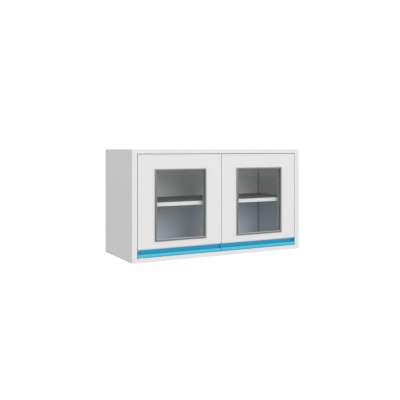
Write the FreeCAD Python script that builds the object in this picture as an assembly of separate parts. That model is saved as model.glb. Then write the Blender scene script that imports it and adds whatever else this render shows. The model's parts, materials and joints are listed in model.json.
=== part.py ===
import FreeCAD, Part
import os

# Steel wall cabinet with two glazed doors, in millimetres.
# X runs to the right along the front, Y runs from the front to the wall, Z is up.
# The origin is the middle of the wall bolt pattern, on the plane of the wall.

# Case
case_width = 900.0
case_height = 500.0
case_depth = 350.0
side_thickness = 25.0
rail_thickness = 20.0
case_sheet = 1.0
bend_radius = 1.2
back_inset = 15.0

# Wall fixing
bolt_inset_x = 175.0
bolt_inset_z = 40.0
bolt_hole_radius = 4.5
hanging_rail_height = 40.0
hanging_rail_sheet = 2.0
hanging_rail_end_gap = 0.5

# Blind rivets round the back panel
rivet_radius = 1.6
rivet_head_radius = 3.2
rivet_head_height = 1.2
rivet_head_round = 1.0
rivet_bulb_radius = 2.4
rivet_bulb_height = 2.0
rivet_setback = 7.0
rivet_spacing = 150.0

# Shelf, its clips and the slots that they hook into
shelf_sheet = 1.0
shelf_lip = 18.0
shelf_return = 12.0
shelf_setback = 36.0
shelf_gap = 2.0
slot_width = 3.0
slot_height = 10.0
slot_pitch = 25.0
lowest_slot = 34.0
clip_sheet = 2.0
clip_width = 24.0
clip_reach = 16.0
clip_height = 24.0
clip_drop = 12.0
clip_inset = 22.0
hook_width = 2.0
hook_height = 6.0
hook_tail = 4.0

# Doors
door_gap = 2.5
door_thickness = 20.0
door_sheet = 1.0
door_lip = 12.0
cover_reveal = 1.0
stiffener_width = 30.0
stiffener_end_gap = 20.0

# Door window
window_side_margin = 80.625
window_top_margin = 64.5
window_bottom_margin = 65.5
window_return = 8.0
bead_width = 10.0
bead_crown = 6.0
bead_round = 3.5
bead_gap = 0.3
bead_splay = 6.0
gasket_tuck = 4.0
gasket_show = 2.0
glass_setback = 4.0
glass_thickness = 4.0
glass_grip = 6.0

# Finger-pull strip along the bottom of each door
handle_height = 31.0
handle_lip_height = 13.5
handle_lip_thickness = 2.5
handle_lip_round = 1.2
handle_wall = 1.5
groove_depth = 11.5
chamber_height = 9.0
roll_radius = 10.0
end_cap_thickness = 1.5
end_cap_clearance = 0.2

# Hinge pivots
pivot_inset = 18.0
pivot_setback = 7.5
pin_radius = 2.5
pin_clearance = 0.05
pin_head_radius = 4.5
pin_head_height = 3.0
top_pin_reach = 10.0
bottom_pin_reach = 6.0
anchor_length = 30.0
anchor_height = 8.0
pivot_block_length = 32.0
pivot_block_height = 15.0
washer_radius = 6.0

# Magnetic catches and the plates that they hold
catch_offset = 45.0
catch_width = 28.0
catch_depth = 20.0
catch_height = 16.0
catch_wall = 3.0
catch_face_gap = 1.0
catch_ear = 11.0
catch_ear_thickness = 2.0
pole_thickness = 2.0
magnet_width = 20.0
magnet_setback = 1.5
strike_width = 52.0
strike_height = 13.0
strike_thickness = 1.0
strike_drop = 1.5
strike_rivet_offset = 20.0

# Door stop between the doors
stop_length = 80.0
stop_height = 26.0
stop_foot = 20.0
stop_sheet = 2.0
buffer_radius = 6.0
buffer_thickness = 4.0
buffer_offset = 25.0
buffer_height = 17.0

# Pan-head screws
screw_radius = 1.9
screw_length = 6.0
screw_head_radius = 3.6
screw_head_height = 2.0
screw_head_round = 0.8
recess_length = 4.0
recess_width = 0.9
recess_depth = 1.0
fastener_clearance = 0.1
cover_screw_inset = 7.0
side_screw_inset = 70.0
top_screw_inset = 110.0
bottom_screw_inset = 70.0

# Places that follow from the sizes
half_width = case_width / 2
half_height = case_height / 2
back = 0.0
front = back - case_depth
door_rear = front + door_thickness
cover_front = door_rear - door_sheet
open_x = half_width - side_thickness
open_z = half_height - rail_thickness
back_face = back - back_inset
door_left = -open_x + door_gap
door_right = -door_gap / 2
door_middle = (door_left + door_right) / 2
door_top = open_z - door_gap
door_bottom = -open_z + door_gap
handle_top = door_bottom + handle_height
pivot_x = door_left + pivot_inset
pivot_y = front + pivot_setback
door_half = (door_right - door_left) / 2
window_width = 2 * (door_half - window_side_margin)
window_high = door_top - window_top_margin
window_low = door_bottom + window_bottom_margin
window_height = window_high - window_low
window_level = (window_high + window_low) / 2
slot_rows = int((2 * open_z - 2 * lowest_slot) / slot_pitch) + 1
slot_levels = [lowest_slot - open_z + row * slot_pitch for row in range(slot_rows)]
shelf_slot = slot_levels[slot_rows // 2 - 1]
clip_top = shelf_slot + clip_drop
shelf_top = clip_top + shelf_lip
shelf_front = front + shelf_setback
shelf_back = back_face - shelf_gap
clip_places = [shelf_front + clip_inset, shelf_back - clip_inset]
bolt_half_x = open_x - bolt_inset_x
bolt_half_z = open_z - bolt_inset_z
bolt_places = [(x * bolt_half_x, z * bolt_half_z) for x in (-1, 1) for z in (-1, 1)]

ALONG_X = FreeCAD.Vector(1, 0, 0)
ALONG_Y = FreeCAD.Vector(0, 1, 0)
ALONG_Z = FreeCAD.Vector(0, 0, 1)
TOLERANCE = 1e-6


def near(value, target):
    return abs(value - target) < TOLERANCE


def around(middle, size):
    return (middle - size / 2, middle + size / 2)


def block(x, y, z):
    corner = FreeCAD.Vector(x[0], y[0], z[0])
    return Part.makeBox(x[1] - x[0], y[1] - y[0], z[1] - z[0], corner)


def rod(radius, start, direction, length):
    return Part.makeCylinder(radius, length, start, direction)


def rounded(shape, radius, chosen):
    edges = [edge for edge in shape.Edges if chosen(edge.CenterOfMass)]
    return shape.makeFillet(radius, edges)


def mirrored(shape):
    return shape.mirror(FreeCAD.Vector(), ALONG_X)


def flipped(shape):
    return shape.mirror(FreeCAD.Vector(), ALONG_Z)


def pair(shape):
    return Part.makeCompound([shape, mirrored(shape)])


def joined(shape, *others):
    return shape.fuse(list(others)).removeSplitter()


def save(name, shape):
    shape.exportStep("parts/" + name + ".step")


# Fasteners
def domed(head, top, radius):
    """A head with its rim rounded at the top."""
    return rounded(head, radius, lambda p: near((p - top).Length, 0))


def screw(seat, direction):
    """Pan-head screw: its head sits on the seat and its shank runs along the direction."""
    top = seat - direction * screw_head_height
    head = domed(rod(screw_head_radius, top, direction, screw_head_height), top, screw_head_round)
    shank = rod(screw_radius, seat, direction, screw_length)
    across = ALONG_X.cross(direction)
    arms = [recess_arm(top, direction, ALONG_X), recess_arm(top, direction, across)]
    return joined(head, shank).cut(arms)


def recess_arm(top, direction, along):
    """One arm of the cross recess in a screw head."""
    side = along.cross(direction) * (recess_width / 2)
    end = along * (recess_length / 2)
    corners = [top - end - side, top + end - side, top + end + side, top - end + side]
    outline = Part.makePolygon(corners + corners[:1])
    return Part.Face(outline).extrude(direction * recess_depth)


def screw_hole(seat, direction):
    return rod(screw_radius + fastener_clearance, seat, direction, screw_length)


def rivet(seat, direction, grip):
    """Blind rivet: domed head on the seat, bulb behind the two sheets that it grips."""
    top = seat - direction * rivet_head_height
    head = domed(rod(rivet_head_radius, top, direction, rivet_head_height), top, rivet_head_round)
    shank = rod(rivet_radius, seat, direction, grip)
    bulb = rod(rivet_bulb_radius, seat + direction * grip, direction, rivet_bulb_height)
    return joined(head, shank, bulb)


def rivet_hole(seat, direction, grip):
    return rod(rivet_radius + fastener_clearance, seat, direction, grip)


def back_rivet_seats():
    """Seat and direction of every rivet in the four flanges of the back panel."""
    y = back - rivet_setback
    side_rows = int((open_z - rivet_setback) / rivet_spacing)
    top_rows = int((open_x - rivet_setback) / rivet_spacing)
    seats = []
    for sign in (-1, 1):
        for row in range(-side_rows, side_rows + 1):
            seat = FreeCAD.Vector(sign * (open_x - case_sheet), y, row * rivet_spacing)
            seats.append((seat, ALONG_X * sign))
        for row in range(-top_rows, top_rows + 1):
            seat = FreeCAD.Vector(row * rivet_spacing, y, sign * (open_z - case_sheet))
            seats.append((seat, ALONG_Z * sign))
    return seats


def back_rivets():
    return [rivet(seat, direction, 2 * case_sheet) for seat, direction in back_rivet_seats()]


def back_rivet_holes():
    return [rivet_hole(seat, direction, 2 * case_sheet) for seat, direction in back_rivet_seats()]


# Case panels: each wall is an outer pan and an inner liner that closes it
def side_panel():
    outer = -half_width
    inner = -open_x
    tall = (-half_height + case_sheet, half_height - case_sheet)
    pan = block((outer, inner), (front, back), (-half_height, half_height))
    pan = rounded(pan, bend_radius, lambda p: near(p.x, outer) or near(p.y, front))
    hollow = block((outer + case_sheet, inner), (front + case_sheet, back - case_sheet), tall)
    front_return = block((inner - case_sheet, inner), (front + case_sheet, door_rear), tall)
    return joined(pan.cut(hollow), front_return)


def side_liner():
    outer = -half_width + case_sheet
    inner = -open_x
    tall = (-half_height + case_sheet, half_height - case_sheet)
    pan = block((outer, inner), (door_rear, back - case_sheet), tall)
    hollow = block(
        (outer, inner - case_sheet), (door_rear + case_sheet, back - 2 * case_sheet), tall
    )
    slots = [
        block((inner - case_sheet, inner), around(y, slot_width), (level, level + slot_height))
        for y in clip_places
        for level in slot_levels
    ]
    return pan.cut([hollow] + slots + back_rivet_holes())


def rail_panel():
    """Top panel with the hinge pin holes in its front return."""
    wide = (-open_x + case_sheet, open_x - case_sheet)
    pan = block((-open_x, open_x), (front, back), (open_z, half_height))
    pan = rounded(pan, bend_radius, lambda p: near(p.x, 0) and (near(p.y, front) or near(p.z, half_height)))
    hollow = block(wide, (front + case_sheet, back - case_sheet), (open_z, half_height - case_sheet))
    front_return = block(wide, (front + case_sheet, door_rear), (open_z, open_z + case_sheet))
    holes = [pin_hole(sign * pivot_x, open_z, case_sheet) for sign in (-1, 1)]
    return joined(pan.cut(hollow), front_return).cut(holes)


def rail_liner():
    """Top liner, before the holes for the screws that go into it."""
    wide = (-open_x + case_sheet, open_x - case_sheet)
    pan = block(wide, (door_rear, back - case_sheet), (open_z, half_height - case_sheet))
    hollow = block(
        wide,
        (door_rear + case_sheet, back - 2 * case_sheet),
        (open_z + case_sheet, half_height - case_sheet),
    )
    return pan.cut([hollow] + back_rivet_holes())


def back_panel():
    pan = block((-open_x, open_x), (back_face, back), (-open_z, open_z))
    hollow = block(
        (-open_x + case_sheet, open_x - case_sheet),
        (back_face + case_sheet, back),
        (-open_z + case_sheet, open_z - case_sheet),
    )
    return pan.cut([hollow] + bolt_holes() + back_rivet_holes())


def bolt_holes():
    return [
        rod(bolt_hole_radius, FreeCAD.Vector(x, back_face, z), ALONG_Y, back_inset)
        for x, z in bolt_places
    ]


def hanging_rail():
    """Upper channel behind the back panel, flush with the wall plane."""
    half_length = open_x - case_sheet - hanging_rail_end_gap
    wide = (-half_length, half_length)
    middle = bolt_half_z
    bar = block(wide, (back_face + case_sheet, back), around(middle, hanging_rail_height))
    hollow = block(
        wide,
        (back_face + case_sheet, back - hanging_rail_sheet),
        around(middle, hanging_rail_height - 2 * hanging_rail_sheet),
    )
    return bar.cut([hollow] + bolt_holes())


# Shelf
def shelf():
    bottom = shelf_top - shelf_lip
    half_length = open_x - shelf_gap
    pan = block((-half_length, half_length), (shelf_front, shelf_back), (bottom, shelf_top))
    pan = rounded(pan, bend_radius, lambda p: near(p.x, 0) and near(p.y, shelf_front))
    hollow = block(
        (-half_length + shelf_sheet, half_length - shelf_sheet),
        (shelf_front + shelf_sheet, shelf_back - shelf_sheet),
        (bottom + shelf_sheet, shelf_top - shelf_sheet),
    )
    mouth = block(
        (-half_length + shelf_return, half_length - shelf_return),
        (shelf_front + shelf_return, shelf_back - shelf_return),
        (bottom, bottom + shelf_sheet),
    )
    return pan.cut([hollow, mouth])


def shelf_clip(y):
    wall = -open_x
    tab = block((wall, wall + clip_reach), around(y, clip_width), (clip_top - clip_sheet, clip_top))
    leg = block((wall, wall + clip_sheet), around(y, clip_width), (clip_top - clip_height, clip_top))
    behind = wall - case_sheet
    neck = block((behind, wall), around(y, hook_width), (shelf_slot, shelf_slot + hook_height))
    tail = block(
        (behind - clip_sheet, behind),
        around(y, hook_width),
        (shelf_slot - hook_tail, shelf_slot + hook_height),
    )
    return joined(tab, leg, neck, tail)


# Hinge pivots, for the left door
def pin_hole(x, level, length):
    return rod(pin_radius + pin_clearance, FreeCAD.Vector(x, pivot_y, level), ALONG_Z, length)


def pivot_anchor():
    level = open_z + case_sheet
    tall = (level, level + anchor_height)
    bar = block(around(pivot_x, anchor_length), (front + case_sheet, door_rear), tall)
    return bar.cut(pin_hole(pivot_x, level, anchor_height))


def pivot_pin(reach):
    """Top pin: its head sits on the anchor, its end reaches into the door."""
    seat = open_z + case_sheet + anchor_height
    end = door_top - reach
    shank = rod(pin_radius, FreeCAD.Vector(pivot_x, pivot_y, end), ALONG_Z, seat - end)
    head = rod(pin_head_radius, FreeCAD.Vector(pivot_x, pivot_y, seat), ALONG_Z, pin_head_height)
    return joined(shank, head)


def thrust_washer():
    disc = rod(washer_radius, FreeCAD.Vector(pivot_x, pivot_y, -open_z), ALONG_Z, door_gap)
    return disc.cut(pin_hole(pivot_x, -open_z, door_gap))


# Magnetic catch for the left door
catch_x = -catch_offset
catch_front = door_rear + strike_thickness + catch_face_gap
catch_back = catch_front + catch_depth
catch_low = open_z - catch_height
catch_space = (catch_low + catch_wall, open_z - catch_wall)
catch_inner_back = catch_back - catch_wall
catch_screw_seats = [
    FreeCAD.Vector(
        catch_x + sign * (catch_width + catch_ear) / 2,
        (catch_front + catch_back) / 2,
        open_z - catch_ear_thickness,
    )
    for sign in (-1, 1)
]


def catch_housing():
    body = block(around(catch_x, catch_width), (catch_front, catch_back), (catch_low, open_z))
    ears = block(
        around(catch_x, catch_width + 2 * catch_ear),
        (catch_front, catch_back),
        (open_z - catch_ear_thickness, open_z),
    )
    pocket = block(around(catch_x, magnet_width), (catch_front, catch_inner_back), catch_space)
    holes = [screw_hole(seat, ALONG_Z) for seat in catch_screw_seats]
    return joined(body, ears).cut([pocket] + holes)


def catch_pole_plates():
    reach = (catch_front - catch_face_gap, catch_inner_back)
    low, high = catch_space
    lower = block(around(catch_x, magnet_width), reach, (low, low + pole_thickness))
    upper = block(around(catch_x, magnet_width), reach, (high - pole_thickness, high))
    return [lower, upper]


def catch_magnet():
    low, high = catch_space
    return block(
        around(catch_x, magnet_width),
        (catch_front + magnet_setback, catch_inner_back),
        (low + pole_thickness, high - pole_thickness),
    )


# Door stop on the bottom liner
stop_front = door_rear + buffer_thickness
stop_screw_seats = [
    FreeCAD.Vector(sign * buffer_offset, stop_front + stop_foot / 2 + stop_sheet, -open_z + stop_sheet)
    for sign in (-1, 1)
]


def door_stop():
    wide = around(0, stop_length)
    upright = block(wide, (stop_front, stop_front + stop_sheet), (-open_z, -open_z + stop_height))
    foot = block(wide, (stop_front, stop_front + stop_sheet + stop_foot), (-open_z, -open_z + stop_sheet))
    holes = [screw_hole(seat, -ALONG_Z) for seat in stop_screw_seats]
    return joined(upright, foot).cut(holes)


def stop_buffer():
    start = FreeCAD.Vector(-buffer_offset, door_rear, -open_z + buffer_height)
    return rod(buffer_radius, start, ALONG_Y, buffer_thickness)


# Left door
strike_middle = door_top - strike_drop - strike_height / 2
strike_rivet_seats = [
    FreeCAD.Vector(catch_x + sign * strike_rivet_offset, door_rear + strike_thickness, strike_middle)
    for sign in (-1, 1)
]
strike_grip = strike_thickness + 2 * door_sheet


def cover_screw_seats():
    """Screws along the two sides and the top go into the skin, those below into the strip."""
    sides = [door_left + cover_screw_inset, door_right - cover_screw_inset]
    levels = ends_and_middle(handle_top + side_screw_inset, door_top - side_screw_inset)
    tops = [door_left + top_screw_inset, door_right - top_screw_inset]
    bottoms = ends_and_middle(door_left + bottom_screw_inset, door_right - bottom_screw_inset)
    places = [(x, z) for x in sides for z in levels]
    places += [(x, door_top - cover_screw_inset) for x in tops]
    places += [(x, door_bottom + chamber_height / 2) for x in bottoms]
    return [FreeCAD.Vector(x, door_rear, z) for x, z in places]


def ends_and_middle(low, high):
    return [low, (low + high) / 2, high]


def cover_screw_holes():
    return [screw_hole(seat, -ALONG_Y) for seat in cover_screw_seats()]


def strike_rivet_holes():
    return [rivet_hole(seat, -ALONG_Y, strike_grip) for seat in strike_rivet_seats]


def window_frame(margin, y):
    """Solid block over the window, larger than the cut-out by the margin on every side."""
    wide = around(door_middle, window_width + 2 * margin)
    return block(wide, y, around(window_level, window_height + 2 * margin))


def rolled_block(offset, rear):
    """The outer form of the skin, shrunk by the offset, with its bottom edge rolled inward."""
    x = (door_left + offset, door_right - offset)
    low = handle_top + offset
    form = block(x, (front + offset, rear), (low, door_top - offset))
    return rounded(form, roll_radius - offset, lambda p: near(p.y, front + offset) and near(p.z, low))


def door_skin():
    skin = rolled_block(0, cover_front)
    above_roll = handle_top + roll_radius + TOLERANCE
    skin = rounded(skin, bend_radius, lambda p: near(p.y, front) and p.z > above_roll)
    hollow = rolled_block(door_sheet, cover_front - door_sheet)
    mouth = block(
        (door_left + door_lip, door_right - door_lip),
        (cover_front - door_sheet, cover_front),
        (handle_top + door_lip, door_top - door_lip),
    )
    edge = window_frame(door_sheet, (front + door_sheet, front + window_return))
    window = window_frame(0, (front, front + window_return))
    shell = joined(skin.cut([hollow, mouth]), edge)
    pin = pin_hole(pivot_x, door_top - door_sheet, door_sheet)
    return shell.cut([window, pin] + cover_screw_holes() + strike_rivet_holes())


def door_cover():
    sheet = block(
        (door_left + cover_reveal, door_right - cover_reveal),
        (cover_front, door_rear),
        (door_bottom + cover_reveal, door_top - cover_reveal),
    )
    window = window_frame(gasket_show - bead_width, (cover_front, door_rear))
    return sheet.cut([window] + cover_screw_holes() + strike_rivet_holes())


def door_glass():
    face = front + glass_setback
    return window_frame(glass_grip - bead_width, (face, face + glass_thickness))


def bead_splay_space():
    """What the bead leaves open behind the pane, wider towards the inside of the case."""
    rings = []
    for y, wider in ((front + glass_setback + glass_thickness, 0), (cover_front, bead_splay)):
        half_x = window_width / 2 - bead_width + wider
        half_z = window_height / 2 - bead_width + wider
        turns = ((-1, -1), (1, -1), (1, 1), (-1, 1), (-1, -1))
        corners = [FreeCAD.Vector(door_middle + a * half_x, y, window_level + b * half_z) for a, b in turns]
        rings.append(Part.makePolygon(corners))
    return Part.makeLoft(rings, True, True)


def door_gasket():
    """Bead in the window: its crown stands proud, a flange tucks behind the skin, a groove holds the pane."""
    bead_front = front - bead_crown
    bead = window_frame(-bead_gap, (bead_front, cover_front))
    flange = window_frame(gasket_tuck, (front + window_return, cover_front))
    opening = window_frame(-bead_width, (bead_front, cover_front))
    ring = joined(bead, flange).cut(opening)
    ring = rounded(ring, bead_round, lambda p: near(p.y, bead_front))
    return ring.cut([door_glass(), bead_splay_space()])


def door_stiffener(sign):
    """Channel between skin and cover, midway between the window and the door's edge."""
    middle = door_middle + sign * (window_width / 2 + door_half) / 2
    tall = (handle_top + stiffener_end_gap, door_top - stiffener_end_gap)
    deep = (front + door_sheet, cover_front)
    bar = block(around(middle, stiffener_width), deep, tall)
    hollow = block(
        around(middle, stiffener_width - 2 * door_sheet),
        (front + 2 * door_sheet, cover_front),
        tall,
    )
    return bar.cut(hollow)


def handle_strip():
    x = (door_left + end_cap_thickness, door_right - end_cap_thickness)
    lip_top = door_bottom + handle_lip_height
    chamber_top = door_bottom + chamber_height
    wall_front = front + groove_depth
    chamber = block(x, (front, cover_front), (door_bottom, chamber_top))
    lip = block(x, (front, front + handle_lip_thickness), (door_bottom, lip_top))
    wall = block(x, (wall_front, wall_front + handle_wall), (door_bottom, handle_top))
    flange = block(x, (wall_front, cover_front), (handle_top - handle_wall, handle_top))
    strip = joined(chamber, lip, wall, flange)
    strip = rounded(strip, handle_lip_round, lambda p: near(p.z, lip_top) and near(p.x, door_middle))
    hollow = chamber_space(x)
    pin = pin_hole(pivot_x, door_bottom, handle_wall)
    return strip.cut([hollow, pin] + cover_screw_holes())


def chamber_space(x):
    """The hollow in the bottom of the strip, over a stretch of its length."""
    return block(
        x,
        (front + handle_lip_thickness, cover_front - handle_wall),
        (door_bottom + handle_wall, door_bottom + chamber_height - handle_wall),
    )


def handle_end_cap(x):
    """Plate that closes an end of the strip and follows the rolled edge of the skin."""
    plate = block(x, (front, cover_front), (door_bottom, handle_top + roll_radius))
    return plate.cut(rolled_block_below())


def rolled_block_below():
    """The space of the skin's rolled edge, grown by the clearance on its round."""
    form = block(
        (door_left, door_right),
        (front - end_cap_clearance, door_rear),
        (handle_top, handle_top + 2 * roll_radius),
    )
    low_front = lambda p: near(p.y, front - end_cap_clearance) and near(p.z, handle_top)
    return rounded(form, roll_radius, low_front)


def top_pivot_block():
    level = door_top - door_sheet - pivot_block_height
    x = door_left + door_sheet
    bar = block(
        (x, x + pivot_block_length),
        (front + door_sheet, cover_front - door_sheet),
        (level, level + pivot_block_height),
    )
    return bar.cut(pin_hole(pivot_x, level, pivot_block_height))


def bottom_pivot_block():
    x = door_left + end_cap_thickness
    bar = chamber_space((x, x + pivot_block_length))
    return bar.cut(pin_hole(pivot_x, door_bottom, chamber_height))


def strike_plate():
    plate = block(
        around(catch_x, strike_width),
        (door_rear, door_rear + strike_thickness),
        around(strike_middle, strike_height),
    )
    return plate.cut(strike_rivet_holes())


def door_pieces():
    """Every piece of the left door by name."""
    caps = [
        handle_end_cap((door_left, door_left + end_cap_thickness)),
        handle_end_cap((door_right - end_cap_thickness, door_right)),
    ]
    rivets = [rivet(seat, -ALONG_Y, strike_grip) for seat in strike_rivet_seats]
    screws = [screw(seat, -ALONG_Y) for seat in cover_screw_seats()]
    return {
        "skin": door_skin(),
        "cover": door_cover(),
        "glass": door_glass(),
        "gasket": door_gasket(),
        "stiffeners": Part.makeCompound([door_stiffener(-1), door_stiffener(1)]),
        "handle_strip": handle_strip(),
        "handle_end_caps": Part.makeCompound(caps),
        "top_pivot_block": top_pivot_block(),
        "bottom_pivot_block": bottom_pivot_block(),
        "strike_plate": strike_plate(),
        "strike_rivets": Part.makeCompound(rivets),
        "cover_screws": Part.makeCompound(screws),
    }


def case_pieces():
    """Every piece of the case by name."""
    catch_seats = catch_screw_seats + [FreeCAD.Vector(-s.x, s.y, s.z) for s in catch_screw_seats]
    catch_holes = [screw_hole(seat, ALONG_Z) for seat in catch_seats]
    stop_holes = [screw_hole(seat, -ALONG_Z) for seat in stop_screw_seats]
    clips = [shelf_clip(y) for y in clip_places]
    plates = catch_pole_plates()
    rail = hanging_rail()
    return {
        "left_side_panel": side_panel(),
        "right_side_panel": mirrored(side_panel()),
        "left_side_liner": side_liner(),
        "right_side_liner": mirrored(side_liner()),
        "top_panel": rail_panel(),
        "bottom_panel": flipped(rail_panel()),
        "top_liner": rail_liner().cut(catch_holes),
        "bottom_liner": flipped(rail_liner()).cut(stop_holes),
        "back_panel": back_panel(),
        "back_panel_rivets": Part.makeCompound(back_rivets()),
        "upper_hanging_rail": rail,
        "lower_hanging_rail": flipped(rail),
        "shelf": shelf(),
        "shelf_clips": Part.makeCompound(clips + [mirrored(clip) for clip in clips]),
        "top_pivot_anchors": pair(pivot_anchor()),
        "bottom_pivot_anchors": pair(flipped(pivot_anchor())),
        "top_pivot_pins": pair(pivot_pin(top_pin_reach)),
        "bottom_pivot_pins": pair(flipped(pivot_pin(bottom_pin_reach))),
        "thrust_washers": pair(thrust_washer()),
        "catch_housings": pair(catch_housing()),
        "catch_pole_plates": Part.makeCompound(plates + [mirrored(plate) for plate in plates]),
        "catch_magnets": pair(catch_magnet()),
        "catch_screws": Part.makeCompound([screw(seat, ALONG_Z) for seat in catch_seats]),
        "door_stop_bracket": door_stop(),
        "stop_buffers": pair(stop_buffer()),
        "stop_screws": Part.makeCompound([screw(seat, -ALONG_Z) for seat in stop_screw_seats]),
    }


os.makedirs("parts", exist_ok=True)
for name, shape in case_pieces().items():
    save(name, shape)
for name, shape in door_pieces().items():
    save("left_door_" + name, shape)
    save("right_door_" + name, mirrored(shape))
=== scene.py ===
# %% [markdown]
# # A steel wall cabinet with two glazed doors
# The real cabinet is folded from white powder-coated sheet steel. It hangs on a wall by two hidden rails,
# and its two doors turn on pins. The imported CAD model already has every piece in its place, in metres:
# X runs to the right, the doors face -Y, the wall is the plane Y = 0 and Z is up.
# This lesson loads that model as a fixed frame and then gives it its looks.

# %% Load the frame
import json
import math

import bmesh
import bpy
from mathutils import Matrix, Vector


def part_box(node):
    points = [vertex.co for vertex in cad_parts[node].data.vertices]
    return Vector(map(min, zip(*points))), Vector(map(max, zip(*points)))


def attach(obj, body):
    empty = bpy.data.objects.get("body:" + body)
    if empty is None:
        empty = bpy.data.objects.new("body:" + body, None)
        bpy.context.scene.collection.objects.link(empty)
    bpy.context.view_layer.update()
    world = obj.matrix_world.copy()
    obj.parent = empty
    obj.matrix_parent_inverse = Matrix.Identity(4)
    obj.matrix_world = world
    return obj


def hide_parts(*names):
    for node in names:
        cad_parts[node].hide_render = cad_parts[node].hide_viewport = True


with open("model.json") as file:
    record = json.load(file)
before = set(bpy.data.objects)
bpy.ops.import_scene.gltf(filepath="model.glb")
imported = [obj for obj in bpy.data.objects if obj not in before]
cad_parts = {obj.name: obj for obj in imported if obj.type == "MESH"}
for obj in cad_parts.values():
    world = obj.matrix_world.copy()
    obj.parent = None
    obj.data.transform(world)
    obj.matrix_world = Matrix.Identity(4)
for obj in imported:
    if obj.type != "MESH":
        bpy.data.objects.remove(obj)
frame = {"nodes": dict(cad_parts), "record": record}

scene = bpy.context.scene
nodes = frame["nodes"]
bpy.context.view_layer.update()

# %% [markdown]
# ## The camera
# The photograph was taken a little to the left of the cabinet, with the camera level and at the height of
# the cabinet's top, so the top is seen edge-on and the uprights stay parallel. A camera that is tilted
# down would make them converge. So the camera here stays level, and a lens shift moves the picture down.

# %% Camera at the photograph's angle
LENS_MM = 55.1
SENSOR_MM = 36.0
LENS_SHIFT = -0.129  # as a part of the picture's width
CAMERA_PLACE = (-1.4356, -2.8496, 0.2539)
CAMERA_HEADING = math.radians(-27.86)  # turned from facing the wall squarely
LEVEL = math.radians(90)  # an unturned camera looks straight down

camera_data = bpy.data.cameras.new("photo_camera")
camera_data.lens = LENS_MM
camera_data.sensor_width = SENSOR_MM
camera_data.shift_y = LENS_SHIFT
camera = bpy.data.objects.new("photo_camera", camera_data)
camera.location = CAMERA_PLACE
camera.rotation_euler = (LEVEL, 0, CAMERA_HEADING)
scene.collection.objects.link(camera)
scene.camera = camera
print("camera is", round(camera.location.length, 2), "m from the middle of the wall face")

# %% [markdown]
# ## Floor, air and lamps
# The cabinet hangs alone in a white studio. The floor is a plain pale disc far below it. Floor and air
# are white where the camera looks at them, and a softer grey for the light that they give. One large soft
# lamp in front makes the doors brighter than the left side, and one above lights the top. The panes would
# mirror the lamps as bright squares, so the lamps are hidden from mirrored and refracted rays.

# %% Standard view, so that a white stays white
scene.view_settings.view_transform = "Standard"
scene.view_settings.look = "None"
scene.view_settings.exposure = 0.0
scene.view_settings.gamma = 1.0
print("colours are shown in the", scene.view_settings.view_transform, "view")


# %% Helpers that add and feed shader nodes
def feed(tree, socket, value):
    """Gives an input its value: another socket is linked to it, anything else is set on it."""
    if isinstance(value, bpy.types.NodeSocket):
        tree.links.new(value, socket)
    else:
        socket.default_value = value


def add_node(tree, kind, inputs=None, **settings):
    """A new node with its properties set and its inputs fed. An input is named, or counted from 0."""
    node = tree.nodes.new(kind)
    for name, value in settings.items():
        setattr(node, name, value)
    for label, value in (inputs or {}).items():
        feed(tree, node.inputs[label], value)
    return node


def either_shader(tree, choice, first, second):
    """The first shader where the choice is 0, the second one where it is 1."""
    return add_node(tree, "ShaderNodeMixShader", {0: choice, 1: first, 2: second}).outputs[0]


def new_material(name, **plain):
    """A material, its node tree and its Principled shader, on which the plain values are set."""
    material = bpy.data.materials.new(name)
    material.use_nodes = True
    surface = material.node_tree.nodes["Principled BSDF"]
    for label, value in plain.items():
        surface.inputs[label.replace("_", " ")].default_value = value
    return material, material.node_tree, surface


# %% A disc for the floor
FLOOR_HEIGHT = -1.65
FLOOR_RADIUS = 40.0

floor_mesh = bmesh.new()
bmesh.ops.create_circle(floor_mesh, cap_ends=True, segments=96, radius=FLOOR_RADIUS)
bmesh.ops.translate(floor_mesh, verts=floor_mesh.verts, vec=(0, 0, FLOOR_HEIGHT))
floor_data = bpy.data.meshes.new("studio_floor")
floor_mesh.to_mesh(floor_data)
floor_mesh.free()
floor = bpy.data.objects.new("studio_floor", floor_data)
scene.collection.objects.link(floor)

# %% Its paint, white to the camera and matt grey to all other rays
FLOOR_GREY = (0.60, 0.60, 0.60, 1)
SEEN_WHITE = 1.05  # a little over 1, so that noise can't make it grey

floor_paint, tree, matt = new_material(
    "studio_floor_paint", Base_Color=FLOOR_GREY, Roughness=0.9, Specular_IOR_Level=0.0)
bright = add_node(tree, "ShaderNodeEmission", {"Strength": SEEN_WHITE})
ray = add_node(tree, "ShaderNodeLightPath")
floor_shader = either_shader(tree, ray.outputs["Is Camera Ray"], matt.outputs[0], bright.outputs[0])
tree.links.new(floor_shader, tree.nodes["Material Output"].inputs["Surface"])
floor_data.materials.append(floor_paint)
print("floor is painted with", floor_paint.name)

# %% Air
AIR_LIGHT = 0.77
WHITE = (1, 1, 1, 1)

world = bpy.data.worlds.new("studio_air")
world.use_nodes = True
scene.world = world
tree = world.node_tree
tree.nodes.clear()
lit_air = add_node(tree, "ShaderNodeBackground", {"Color": WHITE, "Strength": AIR_LIGHT})
seen_air = add_node(tree, "ShaderNodeBackground", {"Color": WHITE, "Strength": SEEN_WHITE})
ray = add_node(tree, "ShaderNodeLightPath")
air_shader = either_shader(tree, ray.outputs["Is Camera Ray"], lit_air.outputs[0], seen_air.outputs[0])
add_node(tree, "ShaderNodeOutputWorld", {"Surface": air_shader})
print("air gives light of strength", AIR_LIGHT)


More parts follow.
